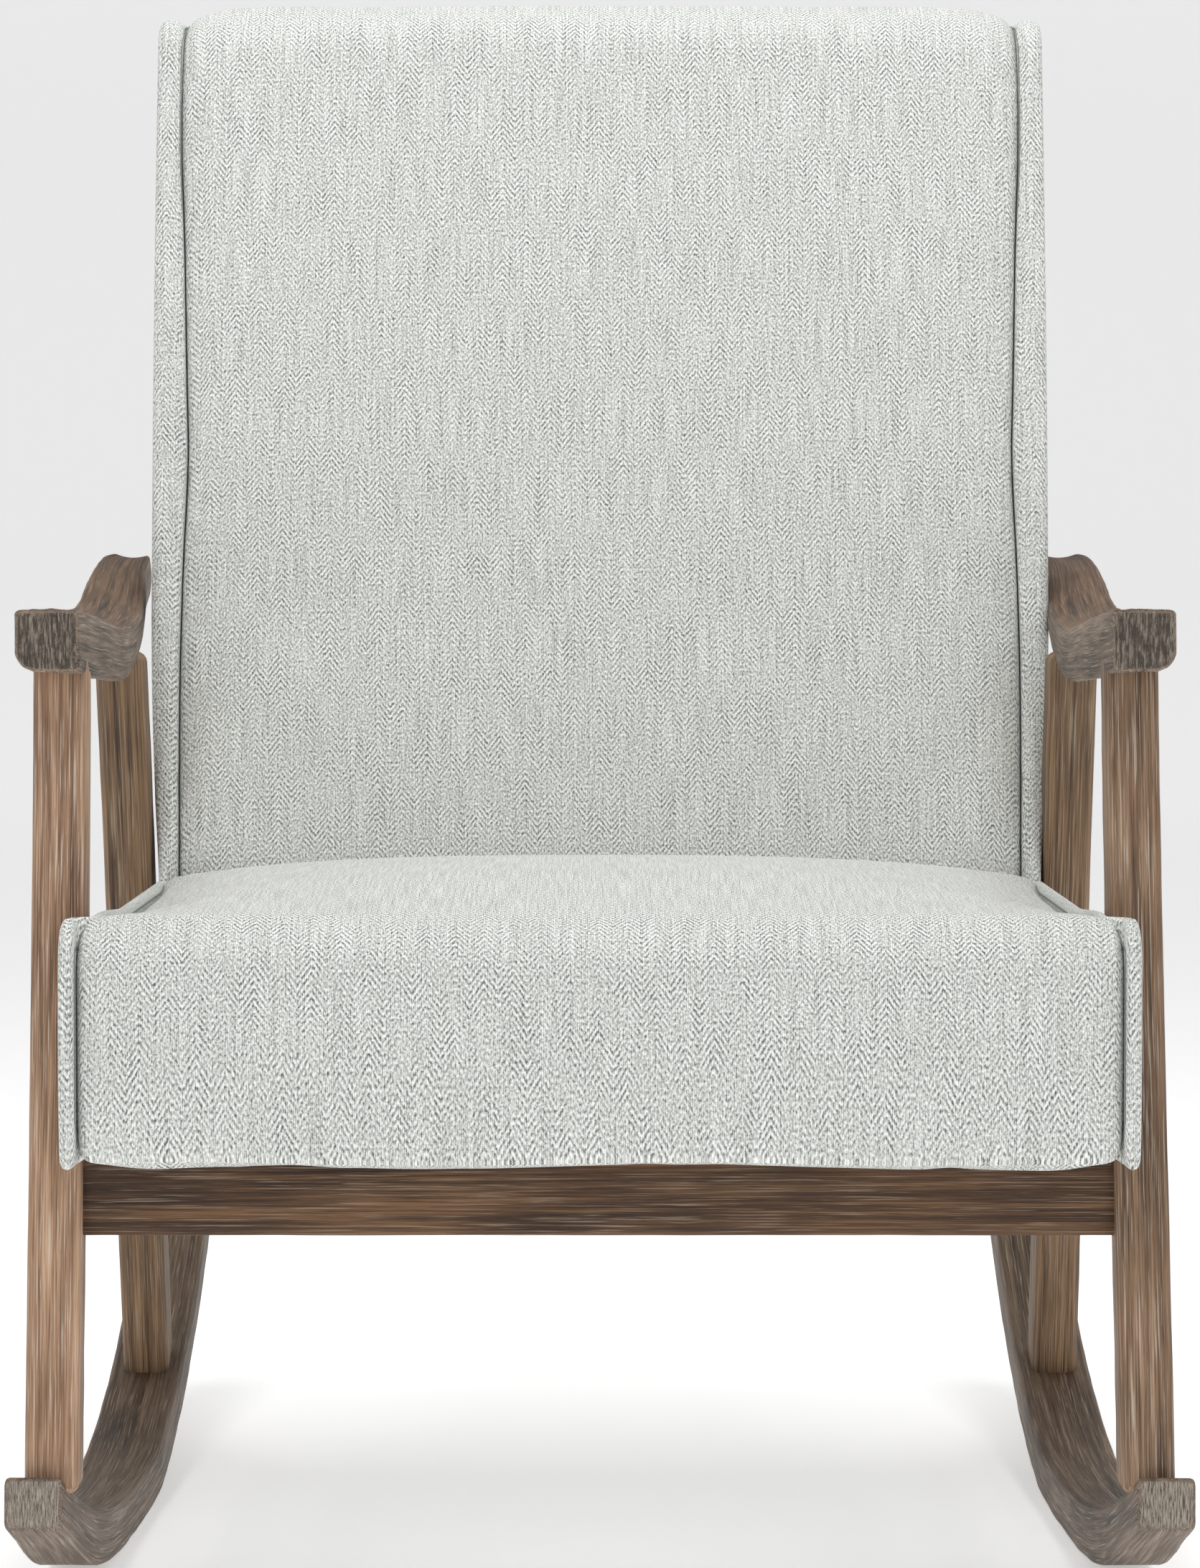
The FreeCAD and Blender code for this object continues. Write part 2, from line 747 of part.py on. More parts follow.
def seat_cover():
    """The cloth over the seat's front and top, tucked down in front of the back."""
    outer = seat_solid("SeatCoverOuter", Size(0), frame_half, rail_top)
    inner = seat_solid("SeatCoverInner", S.cover_thickness, outside, -S.rocker_width)
    shell = cut("SeatCoverShell", outer, inner)
    tuck = block("SeatCoverTuck", -outside, back_foot - S.side_gap - S.seat_edge_round, 0,
                 S.overall_width, S.rocker_length, back_bottom)
    return cut("SeatCover", shell, tuck)


def seat_side_panel(side_name, side):
    """The cloth side of the seat: flat between the post and the leg, fuller in front of the post."""
    y = front + S.seat_front
    outline = seat_outline(Size(0), rail_top)
    outline[1:2] = [(seat_rear, rail_top), (seat_rear, spring_top), (back_foot - S.back_gap, spring_top)]
    full = seat_half + S.cheek_bulge
    silhouette = pad(f"SeatSideOutline_{side_name}", "side", outline,
                     start_x(side, frame_half, full), full - frame_half)
    plan = [(side * frame_half, y), (side * (full - S.cover_thickness), y),
            (side * full, y + S.cover_thickness), (side * full, y + S.cheek_depth - S.cheek_bulge),
            (side * seat_half, y + S.cheek_depth), (side * seat_half, seat_rear),
            (side * frame_half, seat_rear)]
    cheek = pad(f"SeatSidePlan_{side_name}", "above", plan, Size(0), S.arm_height)
    return common(f"SeatSide_{side_name}", silhouette, cheek)


keep("seat_foam", seat_foam())
keep("seat_cover", seat_cover())
for side_name, side in SIDES:
    keep("seat_side_panel_" + side_name, seat_side_panel(side_name, side))


def seat_rear_panel():
    """The cloth over the rear of the seat frame and the ledge behind the back."""
    inner_rear = seat_rear - S.cover_thickness
    ledge = back_front(spring_top) + S.back_thickness + S.back_gap
    corners = [(inner_rear, seat_floor), (seat_rear, seat_floor), (seat_rear, spring_top),
               (ledge, spring_top), (ledge, frame_top), (inner_rear, frame_top)]
    return pad("SeatRearPanel", "side", corners, -frame_half, 2 * frame_half)


keep("seat_rear_panel", seat_rear_panel())
dust_blank = block("DustCoverBlank", -frame_half, front_rail_y, rail_top,
                   2 * frame_half, seat_rear - front_rail_y, S.dust_cover_thickness)
keep("seat_dust_cover", cut("DustCover", dust_blank, frame_bores))

# ---------------------------------------------------------------- back

back_half = inside - S.back_clearance - S.back_panel_bulge
flare_start = S.arm_height + S.flare_rise


def back_outline(inset, low):
    """The back from the side: raked faces under a rounded top."""
    high = S.back_top - inset
    edge = S.back_top_round - inset
    rear_edge = S.back_rear_round
    shoulder = high - edge
    rear = S.back_thickness - S.cover_thickness
    return [
        (back_front(low) + inset, low), (back_front(low) + rear, low),
        (back_front(high - rear_edge) + rear, high - rear_edge, rear_edge),
        (back_front(high) + rear - rear_edge, high),
        (back_front(shoulder) + inset + edge, high, edge),
        (back_front(shoulder) + inset, shoulder),
    ]


def back_slab(name, first, last, low, high, half):
    """A slab across the back, parallel to its raked faces, between two depths behind the front."""
    corners = [(back_front(low) + first, low), (back_front(low) + last, low),
               (back_front(high) + last, high), (back_front(high) + first, high)]
    return pad(name, "side", corners, -half, 2 * half)


def front_view(name, extra, low, high):
    """The back's width seen from the front: upright to the arms, then flared to the top."""
    narrow = back_half + extra
    wide = narrow + S.back_half_flare
    corners = [(-narrow, low), (narrow, low), (narrow, flare_start), (wide, high),
               (-wide, high), (-narrow, flare_start)]
    return pad(name, "front", corners, front, S.rocker_length)


web_front = stile_front - S.webbing_thickness
stile_outer = back_half - S.side_gap
stile_inner = stile_outer - S.stile_width
back_frame_top = S.back_top - S.back_top_round - S.back_rear_round


def back_cover():
    """The cloth over the back's front and top."""
    outer = pad("BackCoverOuter", "side", back_outline(Size(0), back_bottom), -outside, S.overall_width)
    inner = pad("BackCoverInner", "side", back_outline(S.cover_thickness, back_bottom - S.rocker_width),
                -outside, S.overall_width)
    shell = cut("BackCoverShell", outer, inner)
    return common("BackCover", shell, front_view("BackCoverWidth", Size(0), back_bottom, S.back_top))


def back_foam():
    """The foam in front of the webbing and over the top rail."""
    whole = pad("BackFoamWhole", "side", back_outline(S.cover_thickness, back_bottom),
                -outside, S.overall_width)
    hollow = back_slab("BackFoamHollow", web_front, S.back_thickness, back_bottom - S.rocker_width,
                       back_frame_top, outside)
    left = cut("BackFoamFront", whole, hollow)
    return common("BackFoam", left, front_view("BackFoamWidth", Size(0), back_bottom, S.back_top))


def back_side_panel(side_name, side):
    """The padded side of the back, ending in a small rounded ear under the top edge."""
    high = S.back_top - S.panel_drop
    silhouette = pad(f"BackSideOutline_{side_name}", "side", back_outline(S.panel_drop / 2, back_bottom),
                     start_x(side, Size(0), outside), outside)
    narrow = back_half
    wide = narrow + S.back_half_flare
    bulge = S.back_panel_bulge
    strip = [(side * narrow, back_bottom), (side * (narrow + bulge), back_bottom),
             (side * (narrow + bulge), flare_start), (side * (wide + bulge), high - bulge),
             (side * (wide + bulge / 2), high), (side * wide, S.back_top),
             (side * narrow, flare_start)]
    shape = pad(f"BackSideStrip_{side_name}", "front", strip, front, S.rocker_length)
    return common(f"BackSide_{side_name}", silhouette, shape)


WEBBING_COUNT = 5


def back_webbing():
    """Elastic straps across the front of the stiles."""
    straps = []
    for index in range(WEBBING_COUNT):
        low = back_bottom + S.back_rail_height + S.webbing_start + index * S.webbing_pitch
        straps.append(back_slab(f"strap_{index + 1}", web_front, stile_front, low, low + S.webbing_width,
                                stile_outer))
    return group("Webbing", straps)


for side_name, side in SIDES:
    corners = [(back_front(back_bottom) + stile_front, back_bottom),
               (back_front(back_bottom) + stile_rear, back_bottom),
               (back_front(back_frame_top) + stile_rear, back_frame_top),
               (back_front(back_frame_top) + stile_front, back_frame_top)]
    keep("back_stile_" + side_name,
         pad("BackStile_" + side_name, "side", corners, start_x(side, stile_inner, stile_outer),
             S.stile_width))
    keep("back_side_panel_" + side_name, back_side_panel(side_name, side))

keep("back_bottom_rail",
     cut("BackBottomRail", back_slab("BackBottomRailBlank", stile_front, stile_rear, back_bottom,
                                     back_bottom + S.back_rail_height, stile_inner), frame_bores))
keep("back_top_rail", back_slab("BackTopRail", stile_front, stile_rear, back_frame_top - S.back_rail_height,
                                back_frame_top, stile_inner))
keep("back_webbing", back_webbing())
keep("back_foam", back_foam())
keep("back_cover", back_cover())
rear_panel_slab = back_slab("BackRearPanelSlab", stile_rear, S.back_thickness, back_bottom,
                            S.back_top - S.panel_drop, outside)
keep("back_rear_panel",
     common("BackRearPanel", rear_panel_slab,
            front_view("BackRearPanelWidth", Size(0), back_bottom, S.back_top)))

# ---------------------------------------------------------------- check and write

document.recompute()
for item in document.Objects:
    if "Invalid" in item.State or "Error" in item.State:
        raise RuntimeError(f"{item.Label} failed: {item.State}")
for node, item in pieces.items():
    if item.Shape.isNull() or not item.Shape.isValid() or not item.Shape.Solids:
        raise RuntimeError(f"{node} has no valid solid")

os.makedirs("parts", exist_ok=True)
for node, item in pieces.items():
    item.Shape.exportStep(f"parts/{node}.step")
print(len(pieces), "nodes written")
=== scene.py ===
import math

import bmesh
import bpy
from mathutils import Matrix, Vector, noise
from mathutils.bvhtree import BVHTree


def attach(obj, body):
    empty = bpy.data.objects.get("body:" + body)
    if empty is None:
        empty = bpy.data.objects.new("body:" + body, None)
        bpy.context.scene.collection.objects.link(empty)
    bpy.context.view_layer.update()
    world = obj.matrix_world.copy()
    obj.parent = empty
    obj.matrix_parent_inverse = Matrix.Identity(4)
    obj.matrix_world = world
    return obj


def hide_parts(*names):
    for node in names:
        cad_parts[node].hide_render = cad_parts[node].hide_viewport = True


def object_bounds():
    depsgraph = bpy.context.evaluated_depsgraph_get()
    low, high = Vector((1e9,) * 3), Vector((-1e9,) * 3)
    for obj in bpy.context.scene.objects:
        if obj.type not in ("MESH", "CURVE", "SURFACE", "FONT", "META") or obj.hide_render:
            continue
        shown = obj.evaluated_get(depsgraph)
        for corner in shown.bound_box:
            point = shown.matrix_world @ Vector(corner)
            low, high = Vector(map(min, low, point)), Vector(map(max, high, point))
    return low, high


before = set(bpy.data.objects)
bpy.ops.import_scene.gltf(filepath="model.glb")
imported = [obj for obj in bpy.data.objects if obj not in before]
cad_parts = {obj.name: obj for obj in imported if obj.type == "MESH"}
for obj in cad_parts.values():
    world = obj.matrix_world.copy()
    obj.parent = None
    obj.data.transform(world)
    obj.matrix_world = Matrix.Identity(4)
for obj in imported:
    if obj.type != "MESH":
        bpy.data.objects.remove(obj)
cad_low, cad_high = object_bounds()

MM = 0.001
SIDES = (("left", -1), ("right", 1))
FRONT = cad_low.y          # the rockers' front tips
BACK = cad_high.y          # the rockers' rear tips
OUTSIDE = cad_high.x       # the rockers' outer faces
STANDING = 0.301           # the middle of the posts and legs, from the chair's middle

# the timbers' sections, in metres
ROCKER_RADIUS = 1.060      # of the running edge
ROCKER_WIDTH = 0.048
ROCKER_DEPTH = 0.028
CONTACT = FRONT + 0.361    # where the rockers touch the floor
ARM_WIDTH = 0.036
ARM_DEPTH = 0.035
UPRIGHT_WIDTH = 0.030      # the posts' and the legs'
POST_DEPTH = 0.034
LEG_DEPTH = 0.045
RAIL_THICKNESS = 0.024
RAIL_DEPTH = 0.048
RAIL_MIDDLE = 0.244        # the rails' middle above the floor
CROSS_RAIL_LENGTH = 0.590


def share_of(value, low, high):
    """How far the value has come from low to high, from 0 to 1."""
    return min(max((value - low) / (high - low), 0), 1)


def smooth(value, low, high):
    """0 below low, 1 above high, and an even curve between them."""
    share = share_of(value, low, high)
    return share * share * (3 - 2 * share)


def along(points, place):
    """A measured profile: points are (place, value), joined by one smooth curve."""
    slopes = [(b[1] - a[1]) / (b[0] - a[0]) for a, b in zip(points, points[1:])]
    slopes = [slopes[0]] + [(a + b) / 2 for a, b in zip(slopes, slopes[1:])] + [slopes[-1]]
    place = min(max(place, points[0][0]), points[-1][0])
    for (a, first), (b, last), leaving, arriving in zip(points, points[1:], slopes, slopes[1:]):
        if place <= b:
            t = (place - a) / (b - a)
            return (first * (1 - t) ** 2 * (1 + 2 * t) + last * t * t * (3 - 2 * t)
                    + (b - a) * t * (1 - t) * (leaving * (1 - t) - arriving * t))


# ------------------------------------------------------------------ materials

def colour(code):
    """An sRGB hex colour as linear RGBA."""
    parts = [int(code[i:i + 2], 16) / 255 for i in (1, 3, 5)]
    return (*[p / 12.92 if p <= 0.04045 else ((p + 0.055) / 1.055) ** 2.4 for p in parts], 1)


def node(tree, kind, inputs=(), **settings):
    """Add a shader node with its settings, its values and its links, and give back its first output."""
    made = tree.nodes.new("ShaderNode" + kind)
    for name, value in settings.items():
        setattr(made, name, value)
    for name, value in dict(inputs).items():
        if isinstance(value, bpy.types.NodeSocket):
            tree.links.new(value, made.inputs[name])
        else:
            made.inputs[name].default_value = value
    return next(socket for socket in made.outputs if socket.enabled)


def new_material(name):
    material = bpy.data.materials.new(name)
    material.use_nodes = True
    tree = material.node_tree
    return material, tree, tree.nodes["Principled BSDF"]


def brushed_timber(name, dark, middle, light, lime, top="#FFFFFF", ends=None):
    """Acacia, wire-brushed and limed: the soft wood is brushed out between the fibres, pale lime stays in
    the pores, and the arrises show lighter, partly sanded-through wear and partly a painted highlight. top
    is a painted shade that darkens the faces that look up; ends gives the noise levels at which the sawn
    ends' grain is darkest and palest."""
    material, tree, surface = new_material(name)
    node(tree, "Attribute", attribute_name="grain")
    grain = tree.nodes["Attribute"].outputs["Vector"]
    # fibres 1 mm wide and 80 mm long
    fibre_place = node(tree, "Mapping", {"Vector": grain, "Scale": (1000, 12, 1000)})
    fibre = node(tree, "TexNoise", {"Vector": fibre_place, "Scale": 1, "Detail": 4, "Roughness": 0.65})
    # streaks of the stain 3 mm wide and 200 mm long
    streak_place = node(tree, "Mapping", {"Vector": grain, "Scale": (330, 5, 330)})
    streak = node(tree, "TexNoise", {"Vector": streak_place, "Scale": 1, "Detail": 3, "Distortion": 0.2})
    # growth bands about 12 mm wide that wander along the bar
    band_place = node(tree, "Mapping", {"Vector": grain, "Scale": (85, 4, 85)})
    band = node(tree, "TexNoise", {"Vector": band_place, "Scale": 1, "Detail": 2, "Distortion": 0.6})
    # stain that took unevenly, in patches about 80 mm long
    patch_place = node(tree, "Mapping", {"Vector": grain, "Scale": (30, 12, 30)})
    patch = node(tree, "TexNoise", {"Vector": patch_place, "Scale": 1, "Detail": 2})
    # brush scratches 0.8 mm wide and 50 mm long
    brush_place = node(tree, "Mapping", {"Vector": grain, "Scale": (1250, 20, 1250)})
    brush = node(tree, "TexNoise", {"Vector": brush_place, "Scale": 1, "Detail": 3, "Roughness": 0.55})

    tone = node(tree, "Math", {0: band, 1: 0.5, 2: 0.0}, operation="MULTIPLY_ADD")
    tone = node(tree, "Math", {0: fibre, 1: 0.9, 2: tone}, operation="MULTIPLY_ADD")
    tone = node(tree, "Math", {0: streak, 1: 0.6, 2: tone}, operation="MULTIPLY_ADD")
    tone = node(tree, "Math", {0: patch, 1: 0.4, 2: tone}, operation="MULTIPLY_ADD")
    tone = node(tree, "MapRange", {"Value": tone, "From Min": 0.97, "From Max": 1.44})
    ramp = tree.nodes.new("ShaderNodeValToRGB")
    ramp.color_ramp.elements[0].color = colour(dark)
    ramp.color_ramp.elements[1].color = colour(light)
    ramp.color_ramp.elements.new(0.5).color = colour(middle)
    tree.links.new(tone, ramp.inputs["Fac"])
    base = ramp.outputs["Color"]

    limed = node(tree, "MapRange", {"Value": brush, "From Min": 0.56, "From Max": 0.66, "To Max": 0.65})
    base = node(tree, "Mix", {"Factor": limed, 6: base, 7: colour(lime)}, data_type="RGBA")
    scratch = node(tree, "MapRange", {"Value": brush, "From Min": 0.43, "From Max": 0.34, "To Max": 0.65})
    base = node(tree, "Mix", {"Factor": scratch, 6: base, 7: colour(dark)}, data_type="RGBA")

    outwards = tree.nodes.new("ShaderNodeNewGeometry").outputs["Normal"]
    node(tree, "SeparateXYZ", {"Vector": outwards})
    facing = tree.nodes["Separate XYZ"].outputs
    # painted shade: faces that look up are darkened by the top colour, standing for how the light falls on
    # them
    painted_top_shade = node(tree, "MapRange", {"Value": facing["Z"], "From Min": 0.4, "From Max": 0.8})
    base = node(tree, "Mix", {"Factor": painted_top_shade, 6: base, 7: colour(top)}, data_type="RGBA",
                blend_type="MULTIPLY")
    if ends:
        # on sawn ends the brush left upright marks 1 mm apart
        end_place = node(tree, "Mapping", {"Vector": grain, "Scale": (1000, 200, 130)})
        sawn = node(tree, "TexNoise", {"Vector": end_place, "Scale": 1, "Detail": 3, "Roughness": 0.65})
        sawn = node(tree, "MapRange", {"Value": sawn, "From Min": ends[0], "From Max": ends[1]})
        sawn = node(tree, "Mix", {"Factor": sawn, 6: colour(dark), 7: colour(lime)}, data_type="RGBA")
        forwards = node(tree, "Math", {0: facing["Y"]}, operation="ABSOLUTE")
        forwards = node(tree, "MapRange",
                        {"Value": forwards, "From Min": 0.75, "From Max": 0.95, "To Max": 0.85})
        base = node(tree, "Mix", {"Factor": forwards, 6: base, 7: sawn}, data_type="RGBA")

    # the arrises turn lighter: partly sanded-through wear, partly a painted highlight where the rounded
    # edges catch the light
    edge_wear_and_highlight = tree.nodes.new("ShaderNodeAttribute")
    edge_wear_and_highlight.attribute_name = "edge_wear_and_highlight"
    worn_and_highlit = node(tree, "Math", {0: edge_wear_and_highlight.outputs["Fac"], 1: patch}, operation="MULTIPLY")
    worn_and_highlit = node(tree, "MapRange", {"Value": worn_and_highlit, "From Min": 0.15, "From Max": 0.6, "To Max": 0.45})
    base = node(tree, "Mix", {"Factor": worn_and_highlit, 6: base, 7: colour(light)}, data_type="RGBA")

    relief = node(tree, "Math", {0: fibre, 1: brush}, operation="ADD")
    bump = node(tree, "Bump", {"Height": relief, "Strength": 0.5, "Distance": 0.0003})
    rough = node(tree, "MapRange", {"Value": fibre, "To Min": 0.5, "To Max": 0.75})
    tree.links.new(base, surface.inputs["Base Color"])
    tree.links.new(rough, surface.inputs["Roughness"])
    tree.links.new(bump, surface.inputs["Normal"])
    surface.inputs["Specular IOR Level"].default_value = 0.35
    return material


def herringbone(name):
    """Upholstery cloth, polyester and linen in a herringbone weave: pale warp threads 1.05 mm apart, a
    grey-green weft that shows between them as grains, and ribs that turn every 7.9 mm."""
    thread, rib, twill_width, twill_rise = 0.00105, 0.0079, 0.00314, 0.0050
    material, tree, surface = new_material(name)
    place = tree.nodes.new("ShaderNodeTexCoord").outputs["Object"]
    node(tree, "SeparateXYZ", {"Vector": place})
    place = tree.nodes["Separate XYZ"].outputs
    outwards = tree.nodes.new("ShaderNodeNewGeometry").outputs["True Normal"]
    node(tree, "VectorMath", {0: outwards, 1: (1, 0, 0)}, operation="DOT_PRODUCT")
    sideways = tree.nodes[-1].outputs["Value"]
    sideways = node(tree, "Math", {0: sideways}, operation="ABSOLUTE")
    sideways = node(tree, "Math", {0: sideways, 1: 0.75}, operation="GREATER_THAN")
    # the warp runs up the fronts and sides, and back along the top
    across = node(tree, "Mix", {"Factor": sideways, 2: place["X"], 3: place["Y"]})
    up = node(tree, "Math", {0: place["Z"], 1: place["Y"]}, operation="ADD")
    up = node(tree, "Mix", {"Factor": sideways, 2: up, 3: place["Z"]})
    spot = node(tree, "CombineXYZ", {"X": across, "Y": up})

    # threads that wander a little: shakes 4 mm and 1.4 mm across
    drift_place = node(tree, "Mapping", {"Vector": spot, "Scale": (250, 60, 1)})
    drift = node(tree, "TexNoise", {"Vector": drift_place, "Scale": 1, "Detail": 2})
    grain_place = node(tree, "Mapping", {"Vector": spot, "Scale": (900, 520, 1)})
    grain = node(tree, "TexNoise", {"Vector": grain_place, "Scale": 1, "Detail": 2, "Roughness": 0.6})
    shaken = node(tree, "Math", {0: drift, 1: 0.0013, 2: across}, operation="MULTIPLY_ADD")
    threads = node(tree, "Math", {0: shaken, 1: math.pi / thread}, operation="MULTIPLY")
    threads = node(tree, "Math", {0: threads}, operation="SINE")
    threads = node(tree, "Math", {0: threads}, operation="ABSOLUTE")
    # the twill climbs 5 mm while it crosses 3.1 mm, and turns back at each rib's edge
    turn = node(tree, "Math", {0: shaken, 1: rib}, operation="PINGPONG")
    climb = node(tree, "Math", {0: up, 1: twill_width / twill_rise, 2: turn}, operation="MULTIPLY_ADD")
    climb = node(tree, "Math", {0: grain, 1: 0.0012, 2: climb}, operation="MULTIPLY_ADD")
    twill = node(tree, "Math", {0: climb, 1: 2 * math.pi / twill_width}, operation="MULTIPLY")
    twill = node(tree, "Math", {0: twill}, operation="SINE")
    # the twill shows clearly in some places and hardly in others, 20 mm apart
    clear_place = node(tree, "Mapping", {"Vector": spot, "Scale": (60, 34, 1)})
    clear = node(tree, "TexNoise", {"Vector": clear_place, "Scale": 1, "Detail": 2})
    clear = node(tree, "MapRange",
                 {"Value": clear, "From Min": 0.35, "From Max": 0.65, "To Min": 0.05, "To Max": 0.26})
    # slubs: pale thick threads 1.3 mm wide and 60 mm long
    slub_place = node(tree, "Mapping", {"Vector": spot, "Scale": (750, 16, 1)})
    slub = node(tree, "TexNoise", {"Vector": slub_place, "Scale": 1, "Detail": 2, "Roughness": 0.6})

    tone = node(tree, "Math", {0: twill, 1: clear, 2: 0.0}, operation="MULTIPLY_ADD")
    tone = node(tree, "Math", {0: grain, 1: 1.9, 2: tone}, operation="MULTIPLY_ADD")
    tone = node(tree, "Math", {0: threads, 1: 0.22, 2: tone}, operation="MULTIPLY_ADD")
    tone = node(tree, "Math", {0: slub, 1: 0.55, 2: tone}, operation="MULTIPLY_ADD")
    tone = node(tree, "MapRange", {"Value": tone, "From Min": 0.91, "From Max": 1.73})
    ramp = tree.nodes.new("ShaderNodeValToRGB")
    ramp.color_ramp.elements[0].color = colour("#5A635D")
    ramp.color_ramp.elements[1].color = colour("#FAFAF8")
    ramp.color_ramp.elements.new(0.5).color = colour("#C5C7C2")
    tree.links.new(tone, ramp.inputs["Fac"])

    relief = node(tree, "Math", {0: twill, 1: clear, 2: grain}, operation="MULTIPLY_ADD")
    bump = node(tree, "Bump", {"Height": relief, "Strength": 0.4, "Distance": 0.0004})
    tree.links.new(ramp.outputs["Color"], surface.inputs["Base Color"])
    tree.links.new(bump, surface.inputs["Normal"])
    surface.inputs["Roughness"].default_value = 0.9
    surface.inputs["Specular IOR Level"].default_value = 0.2
    surface.inputs["Sheen Weight"].default_value = 0.15
    surface.inputs["Sheen Roughness"].default_value = 0.5
    return material


def fine_material(name, low, high, size, stretch=(1, 1, 1), roughness=0.6, metallic=0.0, relief=0.1):
    """A plain finish with the mottling of its own making, size across."""
    material, tree, surface = new_material(name)
    place = tree.nodes.new("ShaderNodeTexCoord").outputs["Object"]
    place = node(tree, "Mapping", {"Vector": place, "Scale": stretch})
    mottle = node(tree, "TexNoise", {"Vector": place, "Scale": 1 / size, "Detail": 3})
    shade = node(tree, "Mix", {"Factor": mottle, 6: colour(low), 7: colour(high)}, data_type="RGBA")
    bump = node(tree, "Bump", {"Height": mottle, "Strength": relief, "Distance": 0.0003})
    tree.links.new(shade, surface.inputs["Base Color"])
    tree.links.new(bump, surface.inputs["Normal"])
    surface.inputs["Roughness"].default_value = roughness
    surface.inputs["Metallic"].default_value = metallic
    return material


# the same acacia all round, but the left post is paler than the right one
post_timber = {
    "left": brushed_timber("acacia_post_pale_brushed", "#5B4434", "#9C7A60", "#C8A688", "#DCCFC0"),
    "right": brushed_timber("acacia_post_brown_brushed", "#4A382B", "#82674F", "#A98C73", "#C6B9AB"),
}
leg_timber = brushed_timber("acacia_legs_brushed", "#43332A", "#7A6149", "#A28263", "#B0A08C")
rail_timber = brushed_timber("acacia_rails_brushed", "#281A11", "#4E3725", "#7A5A3D", "#978370")
# painted shade: the arms' and the rockers' top colours darken the faces that look up
arm_timber = brushed_timber("acacia_arms_brushed", "#37302A", "#78675A", "#978576", "#B4A898",
                            top="#CDB8A0", ends=(0.46, 0.82))
rocker_timber = brushed_timber("acacia_rockers_brushed", "#332A22", "#6B5B4D", "#8E7E70", "#B3A89B",
                               top="#EADFD0", ends=(0.36, 0.62))

# birch dowels, turned and left plain: fine straight fibres
dowel_wood = fine_material("birch_dowel_plain", "#C9A87A", "#E2C79B", 0.0015, (1, 1, 0.05), 0.6)
# pine and plywood of the hidden frames, planed: bands along the board
frame_wood = fine_material("pine_frame_planed", "#C79F6B", "#E0BF8C", 0.004, (0.08, 1, 1), 0.65)
# zinc-plated steel of the bolts, nuts and screws: cloudy silver
zinc = fine_material("zinc_plated_steel", "#A9ACAE", "#CFD2D4", 0.003, roughness=0.35, metallic=1.0)
# spring steel, drawn and oiled: dark blue-grey
spring_steel = fine_material("spring_steel_drawn", "#4A4E52", "#6C7176", 0.002, roughness=0.4, metallic=1.0)
# spunbonded polypropylene under the seat: matt black felt of fine fibres
dust_felt = fine_material("dust_felt_spunbonded", "#141414", "#2B2B2B", 0.0012, roughness=0.95, relief=0.4)
# elastic webbing of polypropylene and rubber: beige ribs
webbing_cloth = fine_material("webbing_woven_elastic", "#B39A72", "#D6C19B", 0.0014, (1, 0.1, 1), 0.85,
                              relief=0.4)
# painted shade: a dark line laid in the creases of the seams, standing for their shadow, a shade darker
# than the cloth
seam_shade_line = fine_material("seam_crease_painted_shade", "#666C66", "#8F958F", 0.0012, roughness=0.8, relief=0.5)
cloth = herringbone("linen_blend_herringbone")


# ------------------------------------------------------------------ building helpers

def new_object(name, data):
    made = bpy.data.objects.new(name, data)
    bpy.context.collection.objects.link(made)
    return made


def smooth_mesh(name, bm, material):
    """Turn the bmesh into a mesh of this material, shaded smoothly."""
    for face in bm.faces:
        face.smooth = True
    mesh = bpy.data.meshes.new(name)
    bm.to_mesh(mesh)
    bm.free()
    mesh.materials.append(material)
    return mesh


def pull_out(bm, raised, distance):
    """Move the newly extruded vertices along X."""
    verts = [v for v in raised if isinstance(v, bmesh.types.BMVert)]
    bmesh.ops.translate(bm, vec=(distance, 0, 0), verts=verts)


def add_piece(name, bm, material, slot, *nodes):
    """Make an object of the mesh, riding on the chair and standing for its CAD nodes."""
    piece = new_object(name, smooth_mesh(name, bm, material))
    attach(piece, "root")
    if nodes:
        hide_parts(*nodes)
    return piece


def bar(width, length, depth, cuts, rounding):
    """A straight bar along Y, middle at zero, cut across its three axes so that it can be bent, and rounded
    on every edge. Each point keeps its place in the straight bar as its grain, and how near it is to an
    arris as its edge wear and painted highlight."""
    bm = bmesh.new()
    bmesh.ops.create_cube(bm, size=1)
    bmesh.ops.scale(bm, vec=(width, length, depth), verts=bm.verts)
    for axis, count in enumerate(cuts):
        if count:
            run = [e for e in bm.edges if abs((e.verts[0].co - e.verts[1].co)[axis]) > 0.5 * MM]
            bmesh.ops.subdivide_edges(bm, edges=run, cuts=count, use_grid_fill=True)
    sharp = [e for e in bm.edges if e.calc_face_angle(0) > math.radians(45)]
    bmesh.ops.bevel(bm, geom=sharp, offset=rounding, offset_type="OFFSET", segments=4, profile=0.5,
                    affect="EDGES", material=-1, clamp_overlap=True)
    grain = bm.verts.layers.float_vector.new("grain")
    edge_wear_and_highlight = bm.verts.layers.float.new("edge_wear_and_highlight")
    for v in bm.verts:
        v[grain] = v.co
        rim = sorted((width / 2 - abs(v.co.x), length / 2 - abs(v.co.y), depth / 2 - abs(v.co.z)))
        v[edge_wear_and_highlight] = max(0, 1 - rim[1] / rounding)
    return bm, grain


pieces_made = 0


